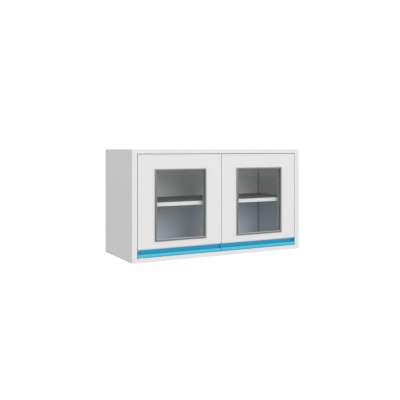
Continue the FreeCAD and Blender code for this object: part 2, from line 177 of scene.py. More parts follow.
# %% Lamps
def softbox(name, place, aim, size, watts):
    """A square lamp at a place, turned towards the point it is aimed at."""
    lamp = bpy.data.lights.new(name, "AREA")
    lamp.shape = "SQUARE"
    lamp.size = size
    lamp.energy = watts
    box = bpy.data.objects.new(name, lamp)
    box.location = place
    box.rotation_euler = (Vector(aim) - Vector(place)).to_track_quat("-Z", "Y").to_euler()
    scene.collection.objects.link(box)
    box.visible_camera = False
    box.visible_glossy = False
    box.visible_transmission = False
    print(name, "shines from", [round(v, 1) for v in place])


softbox("front_softbox", place=(0, -4.1, 1.2), aim=(0, -0.3, 0), size=1.9, watts=50.5)
softbox("top_softbox", place=(0.2, 0.3, 2.6), aim=(0, 0.1, 0.2), size=1.6, watts=9)

# %% [markdown]
# ## Effects that several finishes share
# Powder coat flows into a skin with tiny dimples, called orange peel. It is never one tone: the coat is a
# little thicker or thinner from place to place, hands leave faint greasy patches, and dust settles on
# what faces up. These effects could be painted, but noise in the piece's own coordinates never stretches
# and needs no picture. Each effect is a node group, built once and placed in each finish with its values.


# %% Helpers that open and close a node group
def start_group(name, inputs):
    """A node group with these inputs and their defaults. Gives the group and the sockets it takes in."""
    group = bpy.data.node_groups.new(name, "ShaderNodeTree")
    for label, value in inputs.items():
        kind = "NodeSocketFloat" if isinstance(value, float) else "NodeSocketColor"
        socket = group.interface.new_socket(label, in_out="INPUT", socket_type=kind)
        socket.default_value = value
    group.interface.new_socket("Colour", in_out="OUTPUT", socket_type="NodeSocketColor")
    for label in ("Roughness", "Height"):
        group.interface.new_socket(label, in_out="OUTPUT", socket_type="NodeSocketFloat")
    return group, add_node(group, "NodeGroupInput").outputs


def close_group(group, colour, roughness, height):
    """Hands out what the group has worked out."""
    add_node(group, "NodeGroupOutput", {"Colour": colour, "Roughness": roughness, "Height": height})
    print("group", group.name, "has", len(group.nodes), "nodes")


# %% Helpers that make noise on a piece
NOISE_LOW = 0.3
NOISE_HIGH = 0.7


def object_place(tree):
    """Where a point lies in the piece's own coordinates."""
    return add_node(tree, "ShaderNodeTexCoord").outputs["Object"]


def noise(tree, where, patch, detail=2.0):
    """Noise whose patches are about this large, in metres."""
    inputs = {"Vector": where, "Scale": 1.0 / patch, "Detail": detail}
    return add_node(tree, "ShaderNodeTexNoise", inputs).outputs["Fac"]


def spread(tree, value, low=0.0, high=1.0):
    """Noise seldom leaves its middle part, so that part is stretched to run from low to high."""
    inputs = {
        "Value": value, "From Min": NOISE_LOW, "From Max": NOISE_HIGH, "To Min": low, "To Max": high}
    return add_node(tree, "ShaderNodeMapRange", inputs).outputs["Result"]


# %% Helpers that calculate with values and colours
def maths(tree, operation, first, second):
    """Two values put together, each a number or a socket."""
    return add_node(tree, "ShaderNodeMath", {0: first, 1: second}, operation=operation).outputs[0]


def times(tree, *factors):
    """The product of some values."""
    product = factors[0]
    for factor in factors[1:]:
        product = maths(tree, "MULTIPLY", product, factor)
    return product


def plus(tree, first, second):
    """The sum of two values."""
    return maths(tree, "ADD", first, second)


def blended(tree, amount, first, second):
    """Two colours mixed by an amount."""
    return add_node(tree, "ShaderNodeMix", {0: amount, 6: first, 7: second}, data_type="RGBA").outputs[2]


def facing_up(tree):
    """1 where the surface faces up, and 0 where it is upright or faces down."""
    normal = add_node(tree, "ShaderNodeTexCoord").outputs["Normal"]
    upward = add_node(tree, "ShaderNodeSeparateXYZ", {0: normal}).outputs["Z"]
    return maths(tree, "MAXIMUM", upward, 0.0)


# %% Sprayed coat: tone, dust, smudges and orange peel
LAY_PATCH = 0.22  # metres, like all patches: here the coat is a little thicker or thinner
LAY_SHARE = 0.75
FLECK = 0.0016
FLECK_SHARE = 0.25
SMUDGE_PATCH = 0.06
FINE_DIMPLE = 0.0028
WIDE_DIMPLE = 0.009
WIDE_DEPTH = 0.8  # as a part of the fine dimples' depth
DUST_PATCH = 0.035
LEAST_DUST = 0.2
DUST_DULLS = 0.3  # how much rougher the coat is under dust
DUST_COLOUR = (0.60, 0.57, 0.52, 1)
BLACK = (0.0, 0.0, 0.0, 1)

coat, taken = start_group("sprayed_coat", {
    "Colour": (0.8, 0.8, 0.8, 1), "Tone Change": 0.03, "Dust": 0.1, "Smooth": 0.35, "Rough": 0.5})
place = object_place(coat)
lay = spread(coat, noise(coat, place, LAY_PATCH))
fleck = spread(coat, noise(coat, place, FLECK, detail=1.0))
uneven = plus(coat, times(coat, lay, LAY_SHARE), times(coat, fleck, FLECK_SHARE))
tone = times(coat, uneven, taken["Tone Change"])
darker = blended(coat, tone, taken["Colour"], BLACK)
dusty = spread(coat, noise(coat, place, DUST_PATCH, detail=4.0), low=LEAST_DUST)
settled = times(coat, facing_up(coat), dusty, taken["Dust"])
smudge = spread(coat, noise(coat, place, SMUDGE_PATCH, detail=3.0), taken["Smooth"], taken["Rough"])
wide = times(coat, noise(coat, place, WIDE_DIMPLE), WIDE_DEPTH)
close_group(
    coat,
    colour=blended(coat, settled, darker, DUST_COLOUR),
    roughness=plus(coat, smudge, times(coat, settled, DUST_DULLS)),
    height=plus(coat, noise(coat, place, FINE_DIMPLE, detail=1.0), wide))

# %% Drawn skin: fine lines left along X by the die
DRAWN_LINE = 0.0011
LINE_SHARE = 0.5
DRAWN_CLOUD = 0.05
CLOUD_SHARE = 0.3
DEEP_SHARE = 0.35
ALONG_X = (0.006, 1.0, 1.0)  # noise that is slowed down along X becomes long lines

drawn, taken = start_group("drawn_skin", {
    "Colour": (0.5, 0.5, 0.5, 1), "Deep Colour": (0.3, 0.3, 0.3, 1), "Smooth": 0.25, "Rough": 0.4})
place = object_place(drawn)
along = add_node(drawn, "ShaderNodeMapping", {"Vector": place, "Scale": ALONG_X}).outputs[0]
lines = noise(drawn, along, DRAWN_LINE, detail=3.0)
cloud = spread(drawn, noise(drawn, place, DRAWN_CLOUD, detail=3.0))
wear = plus(drawn, times(drawn, lines, LINE_SHARE), times(drawn, cloud, CLOUD_SHARE))
close_group(
    drawn,
    colour=blended(drawn, times(drawn, cloud, DEEP_SHARE), taken["Colour"], taken["Deep Colour"]),
    roughness=spread(drawn, wear, taken["Smooth"], taken["Rough"]),
    height=lines)

# %% Moulded skin: spark-eroded grain with a paler bloom, and a pale colour painted on where the skin faces up, as painted light from above
MOULD_GRAIN = 0.0008
GRAIN_SHARE = 0.5
BLOOM_PATCH = 0.03
BLOOM_SHARE = 0.4
LEAST_BLOOM = 0.5

moulded, taken = start_group("moulded_skin", {
    "Colour": (0.2, 0.2, 0.2, 1), "Pale Colour": (0.4, 0.4, 0.4, 1), "Amount": 0.3, "Painted Top Light": 0.0,
    "Smooth": 0.5, "Rough": 0.7})
place = object_place(moulded)
grain = noise(moulded, place, MOULD_GRAIN)
cloud = spread(moulded, noise(moulded, place, BLOOM_PATCH, detail=4.0))
haze = times(moulded, cloud, spread(moulded, grain, low=LEAST_BLOOM), taken["Amount"])
# painted light: where the skin faces up, the pale colour is laid on as if lit from above
upward = times(moulded, facing_up(moulded), taken["Painted Top Light"])
bloom_and_top_light = maths(moulded, "MINIMUM", plus(moulded, haze, upward), 1.0)
wear = plus(moulded, times(moulded, grain, GRAIN_SHARE), times(moulded, cloud, BLOOM_SHARE))
close_group(
    moulded,
    colour=blended(moulded, bloom_and_top_light, taken["Colour"], taken["Pale Colour"]),
    roughness=spread(moulded, wear, taken["Smooth"], taken["Rough"]),
    height=grain)

# %% Zinc skin: crystals of the bath and faint colours of its passivation
STAIN_PATCH = 0.008
STAIN_SHARE = 0.4
ZINC_GRAIN = 0.0006
DULL_SHARE = 0.22
DULL_CRYSTAL = (0.36, 0.37, 0.40, 1)

zinc, taken = start_group("zinc_skin", {
    "Colour": (0.6, 0.6, 0.62, 1), "Tint": (0.62, 0.58, 0.45, 1), "Crystal": 0.012,
    "Smooth": 0.28, "Rough": 0.5})
place = object_place(zinc)
per_metre = maths(zinc, "DIVIDE", 1.0, taken["Crystal"])
spangle = add_node(zinc, "ShaderNodeTexVoronoi", {"Vector": place, "Scale": per_metre})
each = add_node(zinc, "ShaderNodeSeparateColor", {0: spangle.outputs["Color"]}).outputs
stain = spread(zinc, noise(zinc, place, STAIN_PATCH, detail=3.0))
tinted = blended(zinc, times(zinc, stain, STAIN_SHARE), taken["Colour"], taken["Tint"])
shine = {"Value": each[1], "To Min": taken["Smooth"], "To Max": taken["Rough"]}
close_group(
    zinc,
    colour=blended(zinc, times(zinc, each[0], DULL_SHARE), tinted, DULL_CRYSTAL),
    roughness=add_node(zinc, "ShaderNodeMapRange", shine).outputs["Result"],
    height=noise(zinc, place, ZINC_GRAIN))

# %% [markdown]
# ## Finishes
# Each finish is one Principled shader fed by one of the groups above. What is the same all over the
# surface, such as how strongly it mirrors, is set on the shader itself. A picture of each real surface
# would do as well, but numbers are easier to change. The bump is as deep as the real relief: orange peel
# is a few hundredths of a millimetre, and drawn lines are finer still.


# %% A finish from a group
def finish(name, group, values, relief, **plain):
    """A material whose colour, roughness and bump come from a group. The relief is in metres."""
    material, tree, surface = new_material(name, **plain)
    skin = add_node(tree, "ShaderNodeGroup", node_tree=group)
    for label, value in values.items():
        skin.inputs[label].default_value = value
    height = {"Height": skin.outputs["Height"], "Distance": relief, "Strength": 1.0}
    bump = add_node(tree, "ShaderNodeBump", height)
    feed(tree, surface.inputs["Base Color"], skin.outputs["Colour"])
    feed(tree, surface.inputs["Roughness"], skin.outputs["Roughness"])
    feed(tree, surface.inputs["Normal"], bump.outputs["Normal"])
    print("finish", name)
    return material


# %% Paints
white_paint = finish(
    "white_powder_coat", coat, relief=0.00002, Specular_IOR_Level=0.35, values={
        "Colour": (0.845, 0.845, 0.84, 1), "Tone Change": 0.025, "Dust": 0.06,
        "Smooth": 0.42, "Rough": 0.52})
interior_paint = finish(
    "grey_interior_coat", coat, relief=0.00003, Specular_IOR_Level=0.3, values={
        "Colour": (0.945, 0.947, 0.943, 1), "Tone Change": 0.04, "Dust": 0.05,
        "Smooth": 0.5, "Rough": 0.62})
# painted shade: the dark grey stands in for the shade that lies on the shelf's top inside the case
shelf_painted_shade = finish(
    "shelf_coat_painted_shade", coat, relief=0.00003, Specular_IOR_Level=0.3, values={
        "Colour": (0.145, 0.15, 0.153, 1), "Tone Change": 0.06, "Dust": 0.04,
        "Smooth": 0.5, "Rough": 0.62})

# %% Plastics
# painted shade: this blue is the darker tone of the shaded groove; the lip gets a paler blue as painted
# light
blue_plastic = finish(
    "blue_strip_plastic", drawn, relief=0.000006, Specular_IOR_Level=0.35, values={
        "Colour": (0.005, 0.36, 0.61, 1), "Deep Colour": (0.005, 0.31, 0.55, 1),
        "Smooth": 0.22, "Rough": 0.36})
nylon = finish(
    "white_nylon", moulded, relief=0.00001, values={
        "Colour": (0.72, 0.71, 0.66, 1), "Pale Colour": (0.80, 0.79, 0.75, 1), "Amount": 0.5,
        "Smooth": 0.4, "Rough": 0.6})

# %% Rubbers
# painted light: the bead's up-facing rounds get the pale colour, as if lit from above
grey_bead = finish(
    "grey_bead_rubber", moulded, relief=0.000012, values={
        "Colour": (0.20, 0.203, 0.206, 1), "Pale Colour": (0.74, 0.745, 0.75, 1), "Amount": 0.04,
        "Painted Top Light": 1.0, "Smooth": 0.36, "Rough": 0.52})
black_rubber = finish(
    "black_buffer_rubber", moulded, relief=0.00003, values={
        "Colour": (0.018, 0.018, 0.019, 1), "Pale Colour": (0.10, 0.10, 0.10, 1), "Amount": 0.35,
        "Smooth": 0.55, "Rough": 0.8})
# painted shade: this dark grey is for the fillets that darken the rear corners
painted_corner_shade = finish(
    "painted_corner_shade_rubber", moulded, relief=0.00004, values={
        "Colour": (0.075, 0.077, 0.08, 1), "Pale Colour": (0.2, 0.2, 0.2, 1), "Amount": 0.2,
        "Smooth": 0.4, "Rough": 0.6})

# %% Metal and ceramic
zinc_steel = finish(
    "zinc_plated_steel", zinc, relief=0.000008, Metallic=1.0, values={
        "Colour": (0.60, 0.61, 0.62, 1), "Tint": (0.62, 0.58, 0.48, 1), "Crystal": 0.010,
        "Smooth": 0.28, "Rough": 0.46})
ferrite = finish(
    "ferrite_ceramic", moulded, relief=0.00004, values={
        "Colour": (0.05, 0.048, 0.046, 1), "Pale Colour": (0.16, 0.15, 0.14, 1), "Amount": 0.5,
        "Smooth": 0.35, "Rough": 0.6})

# %% [markdown]
# ## Second colours
# The lip of each blue strip is painted paler than the groove behind it: painted light on the lip, painted
# shade in the groove. The shelf's top is painted dark grey as painted shade, paler towards the front as
# painted light from the windows, and only its front edge is white like the case. Under the shelf the inside
# of the case is painted a cooler grey than above it, as painted light.
# Each could be a piece of its own with its own finish. But all of them change with the place on a piece,
# so a step along a coordinate is enough to tell one side from the other.


# %% A second colour on part of a piece
def second_colour(material, colour, *steps):
    """Blends another colour in where all the steps are passed.

    A step is an axis, the place where it starts and the place where it is passed, in metres.
    """
    tree = material.node_tree
    base = tree.nodes["Principled BSDF"].inputs["Base Color"]
    place = add_node(tree, "ShaderNodeSeparateXYZ", {0: object_place(tree)}).outputs
    passed = []
    for axis, start, end in steps:
        inputs = {"Value": place[axis], "From Min": start, "From Max": end}
        passed.append(add_node(tree, "ShaderNodeMapRange", inputs).outputs["Result"])
    first_colour = base.links[0].from_socket
    feed(tree, base, blended(tree, times(tree, *passed), first_colour, colour))
    print("second colour on", material.name)


# %% Where the second colours lie
SHARP_STEP = 0.0004  # metres, less than the thickness of any sheet
LIP = 0.0025  # thickness of the strip's lip
# painted light: the shelf's top gets paler towards its front, where light from the windows falls
PAINTED_LIGHT_FROM = 0.174  # how far behind its front the shelf starts to get paler
PAINTED_LIGHT_TO = 0.002  # and where it is palest
PAINTED_LIT_LIP_BLUE = (0.085, 0.59, 0.76, 1)
PAINTED_COOL_LIGHT_GREY = (0.84, 0.885, 0.96, 1)
SHELF_PAINTED_LIGHT_GREY = (0.31, 0.315, 0.315, 1)
SHELF_EDGE_WHITE = (0.92, 0.925, 0.93, 1)


def in_front_of(y, reach):
    """A sharp step along Y: the colour lies in front of y and reaches this far behind it."""
    return "Y", y + reach + SHARP_STEP, y + reach


strip_low, strip_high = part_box("left_door_handle_strip")
shelf_low, shelf_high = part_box("shelf")
back_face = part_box("back_panel")[0].y
# painted light on the strip's lip, in front of the groove's painted shade
second_colour(blue_plastic, PAINTED_LIT_LIP_BLUE, in_front_of(strip_low.y + LIP, reach=-0.0001))
# painted light: the inside below the shelf gets a cooler grey, for the cooler light that falls there
second_colour(
    interior_paint, PAINTED_COOL_LIGHT_GREY, ("Z", shelf_high.z, shelf_low.z), in_front_of(back_face, reach=0.0002))
# painted shade and painted light on the shelf's top, then the front edge's own white
second_colour(shelf_painted_shade, SHELF_PAINTED_LIGHT_GREY, ("Y", shelf_low.y + PAINTED_LIGHT_FROM, shelf_low.y + PAINTED_LIGHT_TO))
second_colour(shelf_painted_shade, SHELF_EDGE_WHITE, in_front_of(shelf_low.y, reach=0.0003))

# %% [markdown]
# ## Window glass
# Window glass is clear, but seen on its edge it is green from the iron in it. Fingers and wiping leave
# faint marks that only show in the gloss. Glass that bends every ray would be truer, but the light inside
# would then be noisy and dim. Real light passes straight through such a thin pane, so diffuse and shadow
# rays go through as if it were air, and only what the camera sees is bent and mirrored.

# %% Glass
WIPE_PATCH = 1 / 9  # metres
GREASE = 0.04  # the roughness of the worst mark
CLEAR = (0.97, 0.99, 0.98, 1)
HAZY = (0.94, 0.97, 0.96, 1)
PASSED_LIGHT = (0.96, 0.975, 0.97, 1)

window_glass, tree, pane = new_material("window_pane_glass", Transmission_Weight=1.0, IOR=1.5)
wiped = noise(tree, object_place(tree), WIPE_PATCH, detail=4.0)
marks = add_node(tree, "ShaderNodeMapRange", {"Value": wiped, "To Min": 0.0, "To Max": GREASE})
feed(tree, pane.inputs["Roughness"], marks.outputs["Result"])
feed(tree, pane.inputs["Base Color"], blended(tree, wiped, CLEAR, HAZY))
ray = add_node(tree, "ShaderNodeLightPath").outputs
passing = maths(tree, "MAXIMUM", ray["Is Shadow Ray"], ray["Is Diffuse Ray"])
as_air = add_node(tree, "ShaderNodeBsdfTransparent", {"Color": PASSED_LIGHT})
glass_shader = either_shader(tree, passing, pane.outputs[0], as_air.outputs[0])
tree.links.new(glass_shader, tree.nodes["Material Output"].inputs["Surface"])
print("finish", window_glass.name)

# %% [markdown]
# ## Dressing the CAD model
# The record names a finish for every CAD node. Every node could be modelled again, but one whose shape is
# already right keeps its mesh and only gets the better material in its slots.

# %% Dress the CAD nodes
finishes = {
    "white_paint": white_paint, "interior_paint": interior_paint, "blue_plastic": blue_plastic,
    "grey_bead": grey_bead, "window_glass": window_glass, "zinc_steel": zinc_steel, "nylon": nylon,
    "ferrite": ferrite, "black_rubber": black_rubber,
}
slot_of = {entry["node"]: entry["material_slot"] for entry in frame["record"]["subparts"]}
for node, piece in nodes.items():
    piece.data.materials.clear()
    piece.data.materials.append(shelf_painted_shade if node == "shelf" else finishes[slot_of[node]])
print("dressed", len(nodes), "CAD nodes in", len(finishes), "finishes")

# %% [markdown]
# ## The window beads
# A grey rubber bead runs round each window. It tucks behind the steel, grips the pane and stands out of
# the door in a rounded crown. Behind the pane it opens wider, so that it hides little of the inside. It
# could be a profile swept along a path, but the corners of a real bead are cut at 45 degrees and glued, and
# insets of a rectangle give exactly that: every inset is one step of the profile, moved back or forth a
# little, and the four mitres come by themselves.

# %% Measures of a bead, read from the CAD nodes
gasket_low, gasket_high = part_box("left_door_gasket")
glass_low, glass_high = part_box("left_door_glass")
BEAD_FRONT = gasket_low.y
BEAD_REAR = gasket_high.y
FLANGE_FRONT = glass_high.y  # the flange behind the steel starts level with the rear of the pane
BEAD_WIDTH = 0.0097  # what is seen of the bead in front of the steel
OUTER_ROUND = 0.0040  # how wide and deep the crown falls off towards the steel
INNER_ROUND = 0.0030  # and towards the pane
CROWN = BEAD_WIDTH - OUTER_ROUND - INNER_ROUND
TUCK = 0.0043  # how far the flange reaches behind the steel
GRIP = 0.006  # how deep the pane sits in its groove
SPLAY = 0.006  # how much wider the bead is open at its rear
ROUND_STEPS = 8
SAME_PLACE = 1e-6  # points that lie closer than this are one
print("bead stands from", round(BEAD_FRONT, 4), "to", round(BEAD_REAR, 4))


# %% Helpers that finish a mesh
def piece_from(mesh, name, body, material, slot, *replaced):
    """Makes a mesh a piece of the object: it rides on a body and stands for CAD nodes."""
    data = bpy.data.meshes.new(name)
    mesh.to_mesh(data)
    mesh.free()
    data.materials.append(material)
    piece = bpy.data.objects.new(name, data)
    scene.collection.objects.link(piece)
    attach(piece, body)
    if replaced:
        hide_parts(*replaced)
    print(name, "has", len(data.polygons), "faces")
    return piece


def smooth_round(piece, angle=40):
    """Smooth shading that stays sharp where faces meet at more than the angle."""
    mesh = bmesh.new()
    mesh.from_mesh(piece.data)
    for face in mesh.faces:
        face.smooth = True
    for edge in mesh.edges:
        edge.smooth = len(edge.link_faces) == 2 and edge.calc_face_angle(0) < math.radians(angle)
    mesh.to_mesh(piece.data)
    mesh.free()


# %% Helpers that step along a profile
def step_in(mesh, face, width, back):
    """Insets a face by a width and pushes what is left of it back."""
    bmesh.ops.inset_region(mesh, faces=[face], thickness=width, use_even_offset=True, use_boundary=True)
    bmesh.ops.translate(mesh, verts=face.verts, vec=(0, back, 0))


def quarter_steps(count):
    """The start and end angle of each step of a quarter turn."""
    turns = [math.radians(90 * step / count) for step in range(count + 1)]
    return list(zip(turns, turns[1:]))


# %% A flat rectangle to start a bead from
def window_rectangle(side):
    """A mesh with one face: the outside of the bead at its rear, facing the front."""
    middle = (gasket_low + gasket_high) / 2
    half = (gasket_high - gasket_low) / 2
    mesh = bmesh.new()
    bmesh.ops.create_grid(mesh, x_segments=1, y_segments=1, size=1.0)
    bmesh.ops.scale(mesh, verts=mesh.verts, vec=(half.x, half.z, 1))
    bmesh.ops.rotate(mesh, verts=mesh.verts, matrix=Matrix.Rotation(math.radians(90), 3, "X"))
    bmesh.ops.translate(mesh, verts=mesh.verts, vec=(side * abs(middle.x), BEAD_REAR, middle.z))
    return mesh


# %% Step along the bead's profile
def window_bead(side):
    """From the rear edge over flange and crown to the pane, round its groove, and back to the rear."""
    mesh = window_rectangle(side)
    face = mesh.faces[:][0]
    step_in(mesh, face, 0, FLANGE_FRONT - BEAD_REAR)
    step_in(mesh, face, TUCK, 0)
    step_in(mesh, face, 0, BEAD_FRONT + OUTER_ROUND - FLANGE_FRONT)
    for low, high in quarter_steps(ROUND_STEPS):
        width = OUTER_ROUND * (math.cos(low) - math.cos(high))
        step_in(mesh, face, width, OUTER_ROUND * (math.sin(low) - math.sin(high)))
    step_in(mesh, face, CROWN, 0)
    for low, high in quarter_steps(ROUND_STEPS):
        width = INNER_ROUND * (math.sin(high) - math.sin(low))
        step_in(mesh, face, width, INNER_ROUND * (math.cos(low) - math.cos(high)))
    step_in(mesh, face, 0, glass_low.y - BEAD_FRONT - INNER_ROUND)
    step_in(mesh, face, -GRIP, 0)
    step_in(mesh, face, 0, glass_high.y - glass_low.y)
    step_in(mesh, face, GRIP, 0)
    step_in(mesh, face, -SPLAY, BEAD_REAR - glass_high.y)
    outer_edge = [edge for edge in mesh.edges if edge.is_boundary]
    inner_edge = list(face.edges)
    bmesh.ops.delete(mesh, geom=[face], context="FACES_ONLY")
    bmesh.ops.bridge_loops(mesh, edges=outer_edge + inner_edge)
    bmesh.ops.remove_doubles(mesh, verts=mesh.verts, dist=SAME_PLACE)
    bmesh.ops.recalc_face_normals(mesh, faces=mesh.faces)
    return mesh


# %% Make both beads
DOORS = {"left_door": -1, "right_door": 1}  # each door's body, and its side of the middle

for door, side in DOORS.items():
    bead = piece_from(
        window_bead(side), door + "_window_bead", door, grey_bead, "grey_bead", door + "_gasket")
    smooth_round(bead)

# %% [markdown]
# ## The blue finger strips
# Along the bottom of each door runs a blue plastic strip, pushed out of a die as one long profile: a
# hollow chamber below, a lip in front to pull on, and a wall that closes the door behind the groove. It
# could be cut out of a box, but the die is really a flat drawing. So the drawing is made first: a few
# points, whose corners are rounded as the die's are, and then it is drawn out along X.

# %% The die's outline and its hollow, as (y, z)
STRIP_WALL = 0.0015
LIP_HEIGHT = 0.0135
CHAMBER_HEIGHT = 0.009
FLANGE = 0.006  # how far the strip reaches behind its wall
LIP_ROUND = 0.00122
GROOVE_ROUND = 0.0014
CORNER_ROUND = 0.0004

front, rear = strip_low.y, strip_high.y
bottom, top = strip_low.z, strip_high.z
lip_rear = front + LIP
lip_top = bottom + LIP_HEIGHT
groove_floor = bottom + CHAMBER_HEIGHT
wall_rear = rear - FLANGE
wall_front = wall_rear - STRIP_WALL

SQUARE_CORNERS = [
    (front, bottom), (rear, bottom), (rear, groove_floor), (wall_rear, groove_floor),
    (wall_rear, top - STRIP_WALL), (rear, top - STRIP_WALL), (rear, top), (wall_front, top),
]
GROOVE_CORNERS = [(wall_front, groove_floor), (lip_rear, groove_floor)]
LIP_CORNERS = [(lip_rear, lip_top), (front, lip_top)]
HOLLOW = [
    (lip_rear, bottom + STRIP_WALL), (rear - STRIP_WALL, bottom + STRIP_WALL),
    (rear - STRIP_WALL, groove_floor - STRIP_WALL), (lip_rear, groove_floor - STRIP_WALL),
]
print("groove is", round(1000 * (wall_front - lip_rear), 1), "mm deep")


# %% Helpers that round edges and pull a drawing out
def soften(mesh, geom, radius, segments, affect="EDGES"):
    """Rounds edges, or the corners of a flat drawing."""
    bmesh.ops.bevel(
        mesh, geom=geom, offset=radius, affect=affect, segments=segments, profile=0.5, material=-1)


def pull_out(mesh, length):
    """Pulls a flat drawing out along X, so that it becomes a closed bar."""
    pulled = bmesh.ops.extrude_face_region(mesh, geom=list(mesh.faces), use_keep_orig=True)["geom"]
    far = [corner for corner in pulled if isinstance(corner, bmesh.types.BMVert)]
    bmesh.ops.translate(mesh, verts=far, vec=(length, 0, 0))
    bmesh.ops.recalc_face_normals(mesh, faces=mesh.faces)


# %% Draw the strips
def drawn_strip(low_x, high_x):
    """Rounds the outline, cuts the hollow out of it and pulls the rest along X."""
    mesh = bmesh.new()
    square, groove, lip = (
        [mesh.verts.new((low_x, y, z)) for y, z in corners]
        for corners in (SQUARE_CORNERS, GROOVE_CORNERS, LIP_CORNERS))
    mesh.faces.new(square + groove + lip)
    soften(mesh, groove, GROOVE_ROUND, segments=5, affect="VERTICES")
    soften(mesh, lip, LIP_ROUND, segments=6, affect="VERTICES")
    soften(mesh, square, CORNER_ROUND, segments=2, affect="VERTICES")
    rims = list(mesh.edges)
    bmesh.ops.delete(mesh, geom=list(mesh.faces), context="FACES_ONLY")
    hollow = [mesh.verts.new((low_x, y, z)) for y, z in HOLLOW]
    rims += [mesh.edges.new((corner, hollow[i - 1])) for i, corner in enumerate(hollow)]
    bmesh.ops.triangle_fill(mesh, edges=rims, use_beauty=True)
    pull_out(mesh, high_x - low_x)
    return mesh


for door in DOORS:
    low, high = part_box(door + "_handle_strip")
    strip = piece_from(
        drawn_strip(low.x, high.x), door + "_finger_strip", door, blue_plastic, "blue_plastic",
        door + "_handle_strip")
    smooth_round(strip)

# %% [markdown]
# ## Panes with ground edges
# A pane is cut from float glass, and its sharp edges are then ground to a small flat, the arris, so that
# nobody is hurt when it is fitted. The CAD pane is a plain box without it. A Bevel modifier would do, but
# one bevel in the mesh keeps the piece plain.

# %% Cut the panes
ARRIS = 0.0005


def box_between(low, high):
    """A plain box from one corner to the opposite one."""
    mesh = bmesh.new()
    bmesh.ops.create_cube(mesh, size=1.0)
    bmesh.ops.scale(mesh, verts=mesh.verts, vec=high - low)
    bmesh.ops.translate(mesh, verts=mesh.verts, vec=(low + high) / 2)
    return mesh


for door in DOORS:
    ground = box_between(*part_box(door + "_glass"))
    soften(ground, list(ground.edges), ARRIS, segments=1)
    piece_from(ground, door + "_pane", door, window_glass, "window_glass", door + "_glass")

# %% [markdown]
# ## Rubber buffers
# The doors close against two rubber buffers on the stop bracket. A moulded buffer has a rounded rim, a
# shallow dish in its face that lets air out, and a thin line where the two halves of the mould met. It
# could start as a cylinder, but all of that is round, so half a section is drawn and spun about its axis.

# %% Half a section, as parts of the buffer's radius and depth
RIM_TURNS = [math.radians(15 * step) for step in range(7)]
RIM_WIDTH = 0.28
RIM_DEPTH = 0.46

dish = [(0.0, 0.18), (0.45, 0.14), (0.62, 0.02)]
rim = [(1 - RIM_WIDTH + RIM_WIDTH * math.sin(turn), RIM_DEPTH * (1 - math.cos(turn))) for turn in RIM_TURNS]
mould_line = [(1.0, 0.49), (0.985, 0.5), (0.985, 0.54), (1.0, 0.55)]
rear_face = [(1.0, 1.0), (0.0, 1.0)]
buffer_section = dish + rim + mould_line + rear_face
print("buffer's section has", len(buffer_section), "points")


# %% Helpers for round pieces and pairs
def spun(section, radius, front_y, rear_y):
    """Spins half a section about the Y axis into a closed piece."""
    mesh = bmesh.new()
    depth = rear_y - front_y
    points = [mesh.verts.new((out * radius, front_y + deep * depth, 0)) for out, deep in section]
    edges = [mesh.edges.new(pair) for pair in zip(points, points[1:])]
    bmesh.ops.spin(
        mesh, geom=points + edges, cent=(0, 0, 0), axis=(0, 1, 0), angle=math.radians(360), steps=48,
        use_merge=True)
    bmesh.ops.remove_doubles(mesh, verts=mesh.verts, dist=SAME_PLACE)
    bmesh.ops.recalc_face_normals(mesh, faces=mesh.faces)
    return mesh


def joined(parts):
    """Puts several meshes into one. The single ones are used up."""
    whole = bmesh.new()
    for part in parts:
        data = bpy.data.meshes.new("one_part")
        part.to_mesh(data)
        part.free()
        whole.from_mesh(data)
        bpy.data.meshes.remove(data)
    return whole


# %% Spin the buffers
buffer_low, buffer_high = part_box("stop_buffers")
BUFFER_RADIUS = (buffer_high.z - buffer_low.z) / 2
BUFFER_MIDDLE = buffer_high.x - BUFFER_RADIUS  # from the middle of the cabinet
BUFFER_HEIGHT = (buffer_low.z + buffer_high.z) / 2

buffer_pair = []
for side in DOORS.values():
    one_buffer = spun(buffer_section, BUFFER_RADIUS, buffer_low.y, buffer_high.y)
    place = (side * BUFFER_MIDDLE, 0, BUFFER_HEIGHT)
    bmesh.ops.translate(one_buffer, verts=one_buffer.verts, vec=place)
    buffer_pair.append(one_buffer)
buffers = piece_from(
    joined(buffer_pair), "moulded_buffers", "cabinet", black_rubber, "black_rubber", "stop_buffers")
smooth_round(buffers)

# %% [markdown]
# ## Moulded catch housings
# A magnetic catch hangs under the top liner behind each door. Its nylon housing is injection moulded, so
# its corners are round: a plate with two screw holes, and under it a box with a pocket for the magnet. A
# Boolean could cut holes and pocket, but it leaves long thin faces. So both start as plain boxes with
# bevelled edges. For the holes the flat sides of the plate are taken off, circles are bridged into walls,
# and the flats are filled again round them. The pocket is an inset, pushed in.

# %% Measures of a housing
catch_low, catch_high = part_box("catch_housings")
poles_low, poles_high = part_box("catch_pole_plates")
CATCH_MIDDLE = 0.045  # from the middle of the cabinet to the middle of a catch
PLATE_SHEET = 0.002
PLATE_LOW = catch_high.z - PLATE_SHEET
PLATE_HALF = catch_high.x - CATCH_MIDDLE
PLATE_CORNER = 0.004
BOX_HALF = 0.014
BOX_ROUND = 0.0012
RIM_ROUND = 0.0005
POCKET_HALF = poles_high.x - CATCH_MIDDLE
HOLE_RADIUS = 0.002
HOLE_REACH = (BOX_HALF + PLATE_HALF) / 2  # from the middle of a catch to a screw
print("catches reach", round(1000 * (catch_high.z - catch_low.z)), "mm below the liner")


# %% A tool that bores screw holes
def edges_at(mesh, **place):
    """The edges whose two ends lie at these coordinates, such as z=0.2."""
    def lies_there(end):
        return all(abs(getattr(end.co, axis) - at) < SAME_PLACE for axis, at in place.items())

    return [edge for edge in mesh.edges if all(lies_there(end) for end in edge.verts)]


